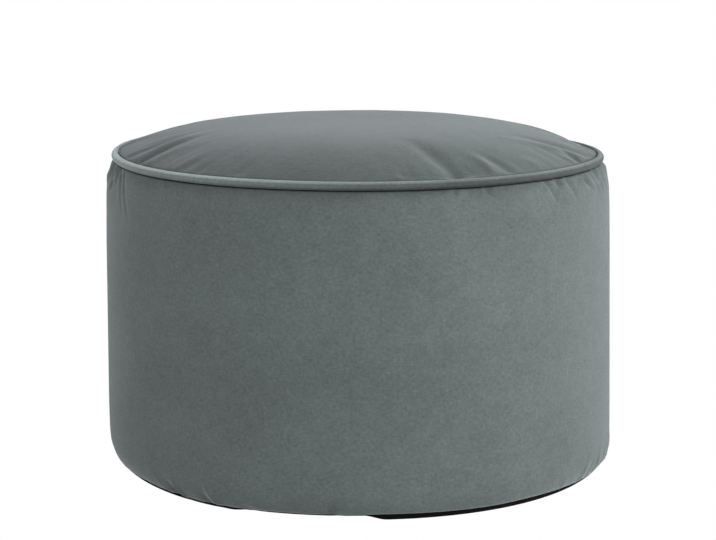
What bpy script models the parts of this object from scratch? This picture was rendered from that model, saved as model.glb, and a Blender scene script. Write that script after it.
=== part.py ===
"""Round bean bag footstool: a filled velvet drum with a crowned top panel, a corded piping and a dark base.

Each sewn piece is turned from its own profile about the Z axis. One rule, settle(), then gives all of them
the shape of a filled bag at rest: drawn in under the piping, bulging and leaning a little, gathered at the
seams. It moves neighbouring points alike, so the gaps between the pieces hold.

Metres, +Z up. The origin is the middle of the base, on the floor, and -Y is the front.
"""

import math
from collections import namedtuple

import bmesh
import bpy
from mathutils import Vector

# Driving sizes
SEAM_RADIUS = 0.240  # centre line of the piping
SEAM_HEIGHT = 0.3120
PIPING_DIAMETER = 0.008
CROWN_RISE = 0.0304  # from the top panel's edge to its middle
CROWN_FLATNESS = 3.8  # how flat the middle of the crown is
CROWN_FULLNESS = 0.80  # under 1, the crown stands steeply off the piping
SHOULDER_RADIUS = 0.2498  # widest point under the piping
SHOULDER_HEIGHT = 0.268
HIP_RADIUS = 0.2524  # widest point over the lower edge
HIP_HEIGHT = 0.033
FLOOR_RADIUS = 0.2165  # where the round lower edge meets the floor
CLOTH = 0.002
GAP = 0.0003  # clearance between sewn pieces

# How finely the rounds are cut
TURN_STEPS = 76
PIPING_SIDES = 8
CROWN_STEPS = 8
WALL_STEPS = 5
SHARP_EDGE = 40.0  # degrees
MERGE_DISTANCE = 1e-6

# Where the pieces meet round the piping, as angles in its section: 0 points outwards, 90 up
TOP_PANEL_MEETS = 128.0
TOP_PANEL_ENDS = 158.0
BAND_TOP_MEETS = 172.0
BAND_MEETS = 258.0
SEAT_RADIUS = PIPING_DIAMETER / 2 + 0.0005  # of the groove that the piping lies in

# Where the base seam lies on the round lower edge: 0 is the floor, 90 the upright wall
BASE_SEAM_ANGLE = 36.0

# How the filled bag sits
BASE_SHIFT = 0.0040  # the base lies this far to the right under the body
BASE_SHIFT_FADES = 0.036  # height at which that has faded out
BODY_LEAN = 0.0014  # the body leans this far to the left on its way up to the seam
CROWN_SHIFT = -0.0035  # the crown leans this far to the left

# Waves round the body. phase is degrees round from the front, to the right
Wave = namedtuple("Wave", "count phase height")
SEAM_WAVES = (
    Wave(count=1, phase=85.0, height=0.0006),
    Wave(count=2, phase=45.0, height=0.0003),
    Wave(count=4, phase=-30.0, height=0.0003),
)
SEAM_WAVES_FROM = (0.200, 0.292)  # heights between which they grow, up the band
WALL_WAVES = (
    Wave(count=2, phase=90.0, height=0.0005),
    Wave(count=3, phase=30.0, height=0.0005),
    Wave(count=5, phase=10.0, height=0.0004),
)
WALL_WAVES_FROM = (0.0, 0.080)
WALL_WAVES_TO = (0.220, 0.290)  # heights between which they fade again

# The main folds. bearing is degrees round from the front, to the right; depth is negative for a trough
Fold = namedtuple("Fold", "bearing width length depth")
CROWN_FOLDS = (
    Fold(bearing=-112.0, width=9.0, length=0.100, depth=-0.0018),
    Fold(bearing=-86.0, width=12.0, length=0.120, depth=0.0026),
    Fold(bearing=-62.0, width=9.0, length=0.105, depth=-0.0020),
    Fold(bearing=-28.0, width=11.0, length=0.070, depth=-0.0012),
    Fold(bearing=24.0, width=11.0, length=0.080, depth=-0.0014),
    Fold(bearing=40.0, width=8.0, length=0.085, depth=0.0012),
    Fold(bearing=72.0, width=11.0, length=0.095, depth=-0.0026),
    Fold(bearing=93.0, width=8.0, length=0.105, depth=0.0012),
    Fold(bearing=120.0, width=10.0, length=0.090, depth=-0.0018),
    Fold(bearing=152.0, width=10.0, length=0.080, depth=-0.0015),
    Fold(bearing=192.0, width=11.0, length=0.085, depth=-0.0018),
    Fold(bearing=226.0, width=10.0, length=0.090, depth=-0.0015),
)
BAND_FOLDS = (
    Fold(bearing=-72.0, width=6.0, length=0.055, depth=-0.0022),
    Fold(bearing=-58.0, width=5.0, length=0.045, depth=0.0014),
    Fold(bearing=50.0, width=6.0, length=0.040, depth=-0.0024),
    Fold(bearing=64.0, width=6.0, length=0.045, depth=-0.0022),
    Fold(bearing=82.0, width=6.0, length=0.045, depth=-0.0018),
    Fold(bearing=128.0, width=7.0, length=0.045, depth=-0.0020),
    Fold(bearing=176.0, width=7.0, length=0.050, depth=-0.0018),
    Fold(bearing=232.0, width=7.0, length=0.045, depth=-0.0020),
)
FOLD_RISES = 0.014  # distance from the seam over which a fold grows to its full depth

# Colours are linear
VELVET = (0.155, 0.185, 0.180)
VELVET_ROUGHNESS = 0.9
BASE_CLOTH = (0.012, 0.012, 0.013)
BASE_CLOTH_ROUGHNESS = 0.85


# ---------------------------------------------------------------- profiles: lists of (radius, height)


def arc(centre, radii, start, end, steps):
    """Points along an arc of an ellipse, with angles in degrees from the outward direction, turning up."""
    points = []
    for step in range(steps + 1):
        angle = math.radians(start + (end - start) * step / steps)
        points.append((centre[0] + radii[0] * math.cos(angle), centre[1] + radii[1] * math.sin(angle)))
    return points


def seat_point(angle):
    """The point of the piping's groove at an angle in its section."""
    return arc((SEAM_RADIUS, SEAM_HEIGHT), (SEAT_RADIUS, SEAT_RADIUS), angle, angle, 1)[0]


def crown_point(share):
    """A point of the top panel's outer face, at a share of the way from its middle to its edge."""
    edge_radius, edge_height = seat_point(TOP_PANEL_MEETS)
    rise = CROWN_RISE * (1 - share**CROWN_FLATNESS) ** CROWN_FULLNESS
    return Vector((share * edge_radius, edge_height + rise))


def crown(inset=0.0):
    """The top panel's outer face from its middle to its edge, or a face that lies inset below it."""
    points = [(0.0, crown_point(0.0).y - inset)]
    for step in range(1, CROWN_STEPS + 1):
        share = math.sin(math.pi / 2 * step / CROWN_STEPS)
        along = crown_point(share) - crown_point(0.99 * share)
        normal = Vector((-along.y, along.x)).normalized()
        points.append(tuple(crown_point(share) - inset * normal))
    return points


def lower_edge(start, end, steps, inset=0.0):
    """The round lower edge between two angles: 0 on the floor, 90 at the upright wall."""
    centre = (FLOOR_RADIUS, HIP_HEIGHT)
    radii = (HIP_RADIUS - FLOOR_RADIUS - inset, HIP_HEIGHT - inset)
    return arc(centre, radii, start - 90, end - 90, steps)


def top_panel_profile():
    outer = crown()
    inner = crown(CLOTH)
    rim = seat_point(TOP_PANEL_ENDS)
    inner = [point for point in inner if point[0] < rim[0] - CLOTH]
    return outer + [rim] + inner[::-1]


def base_panel_profile():
    """A disc that lies on the floor and turns up at its edge to the base seam."""
    outer = [(0.0, 0.0)] + lower_edge(0, BASE_SEAM_ANGLE, 4)
    inner = [(0.0, CLOTH)] + lower_edge(0, BASE_SEAM_ANGLE, 4, CLOTH)
    return outer + inner[::-1]


def side_band_profile():
    """The filled drum, from the middle of its underside out, up the wall and back in under the top panel."""
    under = [(0.0, CLOTH + GAP)] + lower_edge(0, BASE_SEAM_ANGLE, 3, CLOTH + GAP)
    gap_angle = math.degrees(GAP / HIP_HEIGHT)
    edge = lower_edge(BASE_SEAM_ANGLE + gap_angle, 90, 4)
    wall = []
    for step in range(1, WALL_STEPS):
        share = step / WALL_STEPS
        height = HIP_HEIGHT + (SHOULDER_HEIGHT - HIP_HEIGHT) * share
        wall.append((HIP_RADIUS + (SHOULDER_RADIUS - HIP_RADIUS) * share, height))
    meets = seat_point(BAND_MEETS)
    shoulder = arc(
        (meets[0], SHOULDER_HEIGHT),
        (SHOULDER_RADIUS - meets[0], meets[1] - SHOULDER_HEIGHT),
        0,
        90,
        5,
    )
    groove = arc(
        (SEAM_RADIUS, SEAM_HEIGHT), (SEAT_RADIUS, SEAT_RADIUS), BAND_MEETS, BAND_TOP_MEETS, 4
    )[1:]
    filling = [point for point in crown(CLOTH + GAP) if point[0] < groove[-1][0] - CLOTH]
    return under + edge + wall + shoulder + groove + filling[::-1]


def piping_profile():
    centre = (SEAM_RADIUS, SEAM_HEIGHT)
    radius = PIPING_DIAMETER / 2
    return arc(centre, (radius, radius), 0, 360, PIPING_SIDES)[:-1]


# ---------------------------------------------------------------- the shape of a filled bag at rest


def smooth(value, low, high):
    """0 below low, 1 above high, and a soft step between."""
    share = min(1.0, max(0.0, (value - low) / (high - low)))
    return share * share * (3 - 2 * share)


def waves(table, bearing):
    return sum(wave.height * math.cos(math.radians(wave.count * (bearing - wave.phase))) for wave in table)


def fold_depth(folds, bearing, distance):
    """How far the cloth is moved out of its turned shape, at a distance from the piping's seam."""
    depth = 0.0
    for fold in folds:
        across = (bearing - fold.bearing + 180) % 360 - 180
        along = smooth(distance, 0, FOLD_RISES) * (1 - smooth(distance, FOLD_RISES, fold.length))
        depth += fold.depth * along * math.exp(-((across / (fold.width / 2)) ** 2))
    return depth


def settle(point):
    """Moves a point of the turned shape to where it lies in the filled bag."""
    x, y, z = point
    radius = math.hypot(x, y)
    bearing = math.degrees(math.atan2(x, -y))
    outwards = Vector((x, y, 0)).normalized()

    swell = waves(WALL_WAVES, bearing) * smooth(z, *WALL_WAVES_FROM) * (1 - smooth(z, *WALL_WAVES_TO))
    rise = waves(SEAM_WAVES, bearing) * smooth(z, *SEAM_WAVES_FROM) * radius / SEAM_RADIUS

    below_seam = SEAM_HEIGHT - PIPING_DIAMETER / 2 - z
    inside_seam = seat_point(TOP_PANEL_MEETS)[0] - radius
    if below_seam > 0:
        near_wall = smooth(radius, FLOOR_RADIUS, SEAM_RADIUS - PIPING_DIAMETER / 2)
        swell += near_wall * fold_depth(BAND_FOLDS, bearing, below_seam)
    elif inside_seam > 0:
        rise += fold_depth(CROWN_FOLDS, bearing, inside_seam)

    shift = BASE_SHIFT * (1 - smooth(z, 0.0, BASE_SHIFT_FADES)) + BODY_LEAN * max(0.0, 1 - z / SEAM_HEIGHT)
    shift += CROWN_SHIFT * smooth(z, SEAM_HEIGHT + PIPING_DIAMETER / 2, SEAM_HEIGHT + CROWN_RISE)
    moved = Vector((x, y, z)) + outwards * swell * min(1.0, radius / SEAM_RADIUS)
    return moved + Vector((shift, 0, rise))


# ---------------------------------------------------------------- materials and solids


def finish(name, colour, roughness):
    material = bpy.data.materials.new(name)
    material.use_nodes = True
    shader = material.node_tree.nodes["Principled BSDF"]
    shader.inputs["Base Color"].default_value = (*colour, 1.0)
    shader.inputs["Roughness"].default_value = roughness
    shader.inputs["Metallic"].default_value = 0.0
    material.diffuse_color = (*colour, 1.0)
    return material


def turned(name, profile, colour, roughness, closed=False):
    """A solid spun from its profile about the Z axis, then settled, in its own material."""
    mesh = bpy.data.meshes.new(name)
    body = bmesh.new()
    ring = [body.verts.new((0.0, -radius, height)) for radius, height in profile]
    pairs = list(zip(ring, ring[1:])) + ([(ring[-1], ring[0])] if closed else [])
    edges = [body.edges.new(pair) for pair in pairs]
    bmesh.ops.spin(
        body,
        geom=ring + edges,
        cent=(0, 0, 0),
        axis=(0, 0, 1),
        angle=2 * math.pi,
        steps=TURN_STEPS,
        use_merge=True,
    )
    bmesh.ops.remove_doubles(body, verts=body.verts, dist=MERGE_DISTANCE)
    for vertex in body.verts:
        vertex.co = settle(vertex.co)
    bmesh.ops.recalc_face_normals(body, faces=body.faces)
    body.to_mesh(mesh)
    body.free()
    mesh.shade_smooth()
    mesh.set_sharp_from_angle(angle=math.radians(SHARP_EDGE))
    mesh.materials.append(finish(name, colour, roughness))
    bpy.context.scene.collection.objects.link(bpy.data.objects.new(name, mesh))


def clear_scene():
    for old in list(bpy.data.objects):
        bpy.data.objects.remove(old)


def main():
    clear_scene()
    turned("side_band", side_band_profile(), VELVET, VELVET_ROUGHNESS)
    turned("top_panel", top_panel_profile(), VELVET, VELVET_ROUGHNESS)
    turned("piping", piping_profile(), VELVET, VELVET_ROUGHNESS, closed=True)
    turned("base_panel", base_panel_profile(), BASE_CLOTH, BASE_CLOTH_ROUGHNESS)


main()
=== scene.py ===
"""Round bean bag footstool in grey velvet: a filled drum with a crowned top panel, piping and a dark base.

Laid out as an add-on. Each sewn piece has an operator, and its sizes and colours are settings of the scene.
Metres, +Z up, the middle of the base at the origin, and -Y to the front. A bearing is the number of degrees
round the footstool from its front, counted to the right.
"""

import math
from collections import namedtuple

import bpy
import numpy as np
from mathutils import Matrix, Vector


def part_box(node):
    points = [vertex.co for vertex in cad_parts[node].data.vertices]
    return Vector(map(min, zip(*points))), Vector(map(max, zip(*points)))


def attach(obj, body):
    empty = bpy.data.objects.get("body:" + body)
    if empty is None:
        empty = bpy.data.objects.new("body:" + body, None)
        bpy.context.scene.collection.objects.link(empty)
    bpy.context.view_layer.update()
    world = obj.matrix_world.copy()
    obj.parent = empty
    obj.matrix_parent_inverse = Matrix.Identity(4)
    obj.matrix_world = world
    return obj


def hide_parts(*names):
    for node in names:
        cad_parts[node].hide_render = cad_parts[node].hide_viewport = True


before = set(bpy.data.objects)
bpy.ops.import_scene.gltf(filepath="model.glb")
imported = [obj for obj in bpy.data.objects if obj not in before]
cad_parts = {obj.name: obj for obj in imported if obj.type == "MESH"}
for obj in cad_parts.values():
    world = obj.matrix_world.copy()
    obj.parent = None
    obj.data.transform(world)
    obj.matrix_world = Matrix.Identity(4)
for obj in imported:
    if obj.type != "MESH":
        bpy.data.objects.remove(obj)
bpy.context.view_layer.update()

bl_info = {
    "name": "Bean Bag Footstool",
    "version": (1, 0, 0),
    "blender": (4, 5, 0),
    "location": "3D Viewport > Sidebar > Footstool",
    "description": "Sews a round velvet bean bag footstool, piece by piece, and sets up a studio for it",
    "category": "Add Mesh",
}

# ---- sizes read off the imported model


def box_width(node):
    low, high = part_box(node)
    return high[0] - low[0]


def box_middle_height(node):
    low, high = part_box(node)
    return (low[2] + high[2]) / 2


CORD = 0.008  # thickness of the covered cord
WALL_SWELL = 0.0003  # how far the waves of the wall stand out at its widest
SEAM_RADIUS = box_width("piping") / 2 - CORD / 2
SEAM_HEIGHT = box_middle_height("piping")
HIP_RADIUS = box_width("side_band") / 2 - WALL_SWELL
CROWN_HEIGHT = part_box("top_panel")[1][2] + 0.0013  # the filling lifts the cloth a little over the solid

# ---- how the filled bag sits

SHOULDER_RADIUS = 0.2498  # widest point under the piping
SHOULDER_HEIGHT = 0.262
HIP_HEIGHT = 0.033
FLOOR_RADIUS = 0.2165  # where the round lower edge meets the floor
SHOULDER_ROUNDING = 2.2  # how squarely the band turns in under the piping
CROWN_FLATNESS = 3.9  # how flat the middle of the crown is
BASE_SHIFT = 0.0052  # the base lies this far to the right under the body
BASE_SHIFT_FADES = 0.036  # height at which that has faded out
BODY_LEAN = 0.0024  # the body leans this far to the left on its way up to the seam
CROWN_SHIFT = -0.0013  # the crown leans this far to the left

# Where the cloth meets round the piping, as angles in its section: 0 points outwards, 90 up
SEAT = CORD / 2 + 0.0003
TOP_PANEL_MEETS = 128.0
TOP_PANEL_ENDS = 165.0
BAND_MEETS = 262.0


def rows_of(kind, *rows):
    """A table of one kind of thing. Each row has its values, in the order of their names in the kind."""
    return [kind(*row) for row in rows]


Wave = namedtuple("Wave", "count phase height")
SEAM_WAVES = rows_of(Wave, (1, 85.0, 0.0006), (2, 45.0, 0.0003), (4, -30.0, 0.0003))
SEAM_WAVES_FROM = (0.200, 0.292)  # heights between which they grow, up the band
Lift = namedtuple("Lift", "bearing spread height")
# The filling pushes the seam up, and the crown with it
SEAM_LIFTS = rows_of(Lift, (-115.0, 30.0, 0.0031), (45.0, 30.0, -0.0006))
SEAM_LIFTS_FROM = 0.6  # share of the seam's radius from which they grow outwards
# The piping alone stands up
EDGE_LIFTS = rows_of(Lift, (-82.0, 32.0, 0.0026))
EDGE_LIFTS_FROM = 0.86
# The filling pushes the lower edge out
LOWER_SWELLS = rows_of(Lift, (-60.0, 42.0, 0.0033), (88.0, 34.0, -0.0014))
LOWER_SWELLS_TO = (0.004, 0.032)  # heights between which they fade
WALL_WAVES = rows_of(Wave, (2, 90.0, 0.0005), (3, 30.0, 0.0005), (5, 10.0, 0.0004))
WALL_WAVES_FROM = (0.0, 0.080)
WALL_WAVES_TO = (0.220, 0.290)  # heights between which they fade again

# ---- where the cloth is gathered


# A gather is extra cloth sewn into a short stretch of a seam. fullness is its share of the seam there
Gather = namedtuple("Gather", "bearing width length fullness")
BAND_GATHERS = rows_of(
    Gather,
    (-104, 3, 0.03, 0.04),
    (-92, 3, 0.028, 0.03),
    (-81, 2.6, 0.03, 0.035),
    (-73, 2, 0.026, 0.03),
    (27, 1.6, 0.013, 0.015),
    (48, 1.6, 0.015, 0.02),
    (61.5, 1.8, 0.013, 0.02),
    (72, 2, 0.015, 0.03),
    (89, 2.6, 0.028, 0.04),
    (106, 3, 0.03, 0.045),
    (119, 2.4, 0.024, 0.04),
    (131, 3, 0.036, 0.045),
    (146, 2.6, 0.026, 0.035),
    (160, 3, 0.03, 0.045),
    (172, 2.4, 0.026, 0.035),
    (187, 3, 0.032, 0.045),
    (199, 2.4, 0.024, 0.035),
    (213, 3, 0.036, 0.045),
    (226, 2.6, 0.028, 0.035),
    (239, 2.6, 0.026, 0.045),
)
BASE_GATHERS = rows_of(
    Gather,
    (-45.5, 2, 0.03, 0.012),
    (-33.5, 1.6, 0.024, 0.012),
    (65.5, 2.2, 0.03, 0.012),
    (74, 2, 0.03, 0.012),
    (92, 2.4, 0.026, 0.015),
    (112, 2.4, 0.022, 0.018),
    (140, 2.4, 0.026, 0.018),
    (163, 2, 0.018, 0.015),
    (190, 2.4, 0.026, 0.018),
    (215, 2.4, 0.02, 0.015),
    (243, 2.4, 0.026, 0.018),
    (278, 2.4, 0.026, 0.012),
)
GATHER_SPREAD = 1.6  # how far its extra cloth spreads, in widths
GATHER_SEED = 0.02  # metres of first fold for each unit of fullness
FOLD_WIDTH = 0.5  # of the first fold at the seam, in widths of its gather
FOLD_WIDENS = 0.6  # by this much, to the gather's end
EASE = 0.006  # extra cloth sewn in all round
UNFILLED = 0.004  # how far inside its filled shape the band starts
UNFILLED_FROM = 0.05  # distance from the seams at which it does

# A crease runs in from the top seam, and its bearing turns on its way. height is negative for a trough
Crease = namedtuple("Crease", "bearing turn starts length width height")
CROWN_CREASES = rows_of(
    Crease,
    (-92, 0, 0.006, 0.055, 0.012, 0.0022),
    (-70.4, -4.5, 0, 0.09, 0.008, -0.002),
    (-64.6, -5, 0, 0.1, 0.0075, 0.0018),
    (-61.2, -3.4, 0, 0.085, 0.0044, -0.0021),
    (-57, -0.5, 0, 0.066, 0.008, 0.0015),
    (-46.4, 2, 0.001, 0.055, 0.006, 0.0009),
    (-43.6, 1, 0.002, 0.032, 0.005, -0.0009),
    (-38.5, 0, 0.001, 0.024, 0.005, -0.0009),
    (-27.6, 0, 0.002, 0.036, 0.006, -0.001),
    (9, 0, 0, 0.012, 0.003, 0.0009),
    (12, -3, 0.002, 0.05, 0.01, -0.0006),
    (19.6, -7, 0.001, 0.08, 0.014, -0.001),
    (22.9, -4.5, 0.001, 0.105, 0.009, -0.0034),
    (26.4, -4, 0.002, 0.085, 0.016, -0.0014),
    (32.2, 0, 0, 0.05, 0.0055, 0.0016),
    (37, -3, 0.002, 0.055, 0.006, -0.0016),
    (46, 0, 0, 0.03, 0.007, 0.0008),
    (60.6, 0, 0, 0.024, 0.004, 0.0012),
    (64.2, 1, 0, 0.03, 0.004, -0.0026),
    (68.5, -14, 0.001, 0.085, 0.011, 0.0014),
    (74.4, -14, 0.001, 0.085, 0.0085, -0.0022),
    (79, 4, 0, 0.06, 0.005, 0.001),
    (83, 6, 0, 0.04, 0.004, -0.0016),
    (99, 0, 0, 0.085, 0.03, -0.0037),
    (112, 4, 0, 0.07, 0.007, 0.0014),
    (131, -4, 0, 0.08, 0.008, -0.0016),
    (150, 3, 0, 0.06, 0.006, 0.0014),
    (171, 0, 0, 0.07, 0.008, -0.0014),
    (193, -3, 0, 0.07, 0.006, 0.0015),
    (209, 3, 0, 0.075, 0.008, -0.0015),
    (228, -4, 0, 0.07, 0.006, 0.0014),
    (246, 2, 0, 0.085, 0.008, -0.0015),
)
BAND_CREASES = rows_of(
    Crease,
    (-80, -5, 0.001, 0.03, 0.004, 0.0012),
    (-76, -5, 0, 0.03, 0.0035, -0.0014),
    (-71.8, -6, 0, 0.034, 0.0032, 0.0015),
    (-69.5, -3, 0, 0.03, 0.003, -0.0012),
    (-69, 6, 0.001, 0.05, 0.0032, -0.0014),
    (-65.9, 6.2, 0, 0.052, 0.0034, -0.0014),
    (21, 0, 0, 0.011, 0.0026, -0.0028),
    (28.8, 0, 0, 0.013, 0.0028, -0.003),
    (32.8, 0.5, 0, 0.008, 0.003, -0.0012),
    (45.3, 4.5, 0, 0.034, 0.0034, -0.0026),
    (49.6, 0.5, 0, 0.015, 0.0034, -0.0045),
    (53, 3.5, 0, 0.03, 0.0038, -0.0032),
    (59.2, 8, 0, 0.028, 0.004, -0.0032),
    (64.8, 5, 0.001, 0.03, 0.0036, -0.0014),
    (69.4, 3, 0, 0.028, 0.0042, -0.0028),
    (74, 3, 0, 0.03, 0.0042, -0.0022),
    (79.5, 3, 0, 0.028, 0.0042, -0.002),
)
BASE_CREASES = rows_of(
    Crease,
    (-47, -4, 0.001, 0.022, 0.0035, 0.0012),
    (-44.6, -2, 0, 0.024, 0.0046, -0.0028),
    (-41.6, -4, 0, 0.028, 0.0032, 0.0024),
    (-35.2, -1, 0, 0.026, 0.0046, -0.0028),
    (-32.6, -2.6, 0, 0.042, 0.0028, 0.0026),
    (-25, 0, 0, 0.012, 0.006, -0.0022),
    (-12.2, -1, 0, 0.014, 0.003, 0.001),
    (-5.9, 0, 0.001, 0.026, 0.0044, -0.003),
    (50, 2, 0.001, 0.016, 0.0035, 0.001),
    (57, 6, 0.001, 0.034, 0.0032, 0.0015),
    (60, 6, 0.001, 0.03, 0.0038, -0.0012),
    (65, 5, 0.002, 0.036, 0.0036, 0.0016),
    (70, 4, 0.002, 0.034, 0.004, -0.0014),
    (75, 3, 0.002, 0.034, 0.0036, 0.0012),
)
CREASE_BEFORE = 0.002  # a crease grows from this far before its start
CREASE_AFTER = 0.006  # to this far after
CREASE_FADES_FROM = 0.35  # share of its length
CROWN_UNCREASED = 0.03  # radius of the middle of the crown, which has none
UNCREASED_INSIDE = 0.97  # share of the seam's radius inside which there is no band, only the caps
SEAM_MARGIN = 0.0002
SEAM_DEPTH = 0.0014  # of the groove along the band's closing seam, at the back
SEAM_WIDTH = 0.0016
CROWN_EASE = 0.0003  # extra cloth in the top panel's rim
CROWN_EASE_TO = 0.06  # distance from the rim at which there is none
CROWN_GATHERS = rows_of(
    Gather,
    (-90, 7, 0.07, 0.002),
    (-65, 7, 0.09, 0.0025),
    (-43, 4, 0.04, 0.001),
    (21, 4, 0.07, 0.0012),
    (34, 4, 0.05, 0.0016),
    (46, 3, 0.03, 0.0015),
    (74, 6, 0.08, 0.0022),
    (96, 6, 0.06, 0.0022),
    (126, 8, 0.06, 0.0026),
    (156, 8, 0.06, 0.002),
    (190, 8, 0.06, 0.0026),
    (218, 8, 0.06, 0.002),
    (244, 7, 0.07, 0.0026),
)

# How high the base seam lies above the floor, at bearings round the footstool
BASE_SEAM = (
    (-180, 0.0085),
    (-90, 0.01),
    (-60, 0.0118),
    (-54, 0.011),
    (-46, 0.008),
    (-34, 0.0064),
    (-26, 0.0078),
    (-8, 0.009),
    (4, 0.0102),
    (18, 0.0095),
    (30, 0.0091),
    (40, 0.0105),
    (55, 0.0103),
    (78, 0.009),
    (120, 0.0082),
    (180, 0.0085),
)
BASE_SEAM_SOFTNESS = 3.0  # degrees over which its height changes
BAND_ROWS_TO = 0.0068  # height that the band's rows run down to, before they follow the base seam
BASE_SEAM_REACH = 0.080  # how far up the band its rows follow the base seam
BASE_INSIDE_BAND = 0.0005  # the base panel's edge lies this far inside the band
BASE_CREASED_AT = 0.0020  # distance up the band of the creases that the base panel's edge follows
# The base turns up from the floor in a round, but between two bearings it rises straight and from further in
BASE_TUCK = (-30.0, 2.0)
BASE_TUCK_SOFTNESS = 3.0
BASE_TUCK_RADIUS = 0.2060

# ---- how finely the cloth is divided

PROFILE_POINTS = 200
BAND_COLUMNS = 400
BAND_ROWS_AT_SEAM = 18
BAND_ROWS_DOWN = 22
BAND_ROWS_AT_BASE = 12
BAND_SEAM_ZONE = 0.060  # distance from the top seam with close rows
BAND_BASE_ZONE = 0.050
CROWN_PROFILE_POINTS = 300
CROWN_COLUMNS = 352
CROWN_FEWEST_COLUMNS = 24
CROWN_FIRST_STEP = 0.0022  # from ring to ring, at the rim
CROWN_LAST_STEP = 0.0068
CROWN_STEP_GROWTH = 1.12
CROWN_NARROWEST = 0.56  # columns narrower than this share of a step are halved in number
CROWN_MIDDLE = 0.012  # radius left for the faces at the middle
CROWN_REACH = 0.2400  # from the top panel's rim to its middle, along the cloth
BASE_COLUMNS = 480
BASE_TURN_UP = (1.0, 0.85, 0.7, 0.55, 0.4, 0.25, 0.12)  # its rings, as shares of the seam's height
BASE_FLAT = (1.0, 0.97, 0.85, 0.6, 0.3, 0.1)  # its rings, as shares of the radius on the floor
PIPING_STEPS = 900
PIPING_SIDES = 16
PUCKERS = 140  # in the piping's cover
PUCKER_SEED = 11
PUCKER_SPREAD = 70  # degrees round the cord's section
CORD_JOINT = 176.0  # bearing at which the cover's ends meet

# ---- how the cloth is simulated

Drape = namedtuple("Drape", "frames sewn_by pressure bending tension")
BAND_DRAPE = Drape(frames=24, sewn_by=8, pressure=60.0, bending=0.2, tension=15.0)
CROWN_DRAPE = Drape(frames=20, sewn_by=8, pressure=30.0, bending=4.0, tension=15.0)
CLOTH_MASS = 0.01
CLOTH_SHEAR = 5.0
CLOTH_QUALITY = 6
FARTHEST_MOVE = 0.006  # no point of the cloth ends farther than this from its sewn shape
BROADEST_FOLD = 7  # folds so broad that fewer than this many go round the footstool are evened out
LOWER_EDGE_CALM = 0.4  # how much of the filling's push is left at the lower edge
LOWER_EDGE_CALM_TO = (0.020, 0.150)  # heights between which it grows back to all of it
CROWN_CALM = 0.35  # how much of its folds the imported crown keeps

# Caps close the band over the filling. Each ring has a share of the radius, and this many times fewer columns
TOP_CAP = ((0.965, 1), (0.90, 2), (0.70, 4), (0.40, 8))
BASE_CAP = ((0.97, 1), (0.85, 2), (0.60, 4), (0.30, 8))
TOP_CAP_STARTS = 200.0  # angle round the piping
TOP_CAP_INSIDE = 0.001  # distance inside that angle's point
UNDER_CROWN = 0.0090  # the filling's top lies this far under the crown
OVER_BASE = 0.0030  # its underside lies at this height, on the base panel

# ---- curves and waves


def smooth(value, low, high):
    """0 below low, 1 above high, and a soft step between."""
    share = np.clip((value - low) / (high - low), 0.0, 1.0)
    return share * share * (3 - 2 * share)


def turned_from(bearing, other):
    """The degrees from one bearing to another, the short way round."""
    return (bearing - other + 180) % 360 - 180


def waves(table, bearing):
    return sum(w.height * np.cos(np.radians(w.count * (bearing - w.phase))) for w in table)


def bump(across):
    """1 in the middle, and down to 0 on both sides."""
    return np.exp(-(across**2))


def lifts(table, bearing):
    return sum(lift.height * bump(turned_from(bearing, lift.bearing) / lift.spread) for lift in table)


def place(bearing, radius, height):
    """Points at bearings, radii and heights."""
    angle = np.radians(bearing)
    return np.stack([radius * np.sin(angle), -radius * np.cos(angle), height + 0 * angle], axis=-1)


def all_round(count):
    """Bearings of points set evenly round the footstool, from the middle of its back."""
    return np.linspace(-180.0, 180.0, count, endpoint=False)


def polar(points):
    """The bearing of each point, and its distance from the axis."""
    x, y = points[..., 0], points[..., 1]
    return np.degrees(np.arctan2(x, -y)), np.hypot(x, y)


def settle(points):
    """Moves points of the turned shape to where they lie in the filled bag: leaning, and waved a little."""
    x, y, z = points[..., 0], points[..., 1], points[..., 2]
    bearing, radius = polar(points)
    swell = waves(WALL_WAVES, bearing) * smooth(z, *WALL_WAVES_FROM) * (1 - smooth(z, *WALL_WAVES_TO))
    swell = swell + lifts(LOWER_SWELLS, bearing) * (1 - smooth(z, *LOWER_SWELLS_TO))
    swell = 1 + swell / SEAM_RADIUS
    lifted = lifts(SEAM_LIFTS, bearing) * smooth(radius, SEAM_LIFTS_FROM * SEAM_RADIUS, SEAM_RADIUS)
    lifted = lifted + lifts(EDGE_LIFTS, bearing) * smooth(radius, EDGE_LIFTS_FROM * SEAM_RADIUS, SEAM_RADIUS)
    rise = (waves(SEAM_WAVES, bearing) * radius / SEAM_RADIUS + lifted) * smooth(z, *SEAM_WAVES_FROM)
    shift = BASE_SHIFT * (1 - smooth(z, 0.0, BASE_SHIFT_FADES))
    shift = shift + BODY_LEAN * np.maximum(0.0, 1 - z / SEAM_HEIGHT)
    shift = shift + CROWN_SHIFT * smooth(z, SEAM_HEIGHT + CORD / 2, SEAM_HEIGHT + 0.030)
    return np.stack([x * swell + shift, y * swell, z + rise], axis=-1)


def seat_point(shape, angle):
    """Radius and height of the cloth round the piping, at an angle in its section."""
    turn = math.radians(angle)
    return shape.seam_radius + SEAT * math.cos(turn), shape.seam_height + SEAT * math.sin(turn)


def along(profile):
    """The distance along a profile of each of its points."""
    steps = np.hypot(np.diff(profile[:, 0]), np.diff(profile[:, 1]))
    return np.concatenate([[0.0], np.cumsum(steps)])


def lower_edge_radius(shape, height):
    """Radius of the round lower edge at a height below the hip."""
    share = np.clip(1 - height / HIP_HEIGHT, 0.0, 1.0)
    return FLOOR_RADIUS + (shape.hip_radius - FLOOR_RADIUS) * np.sqrt(1 - share**2)


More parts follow.
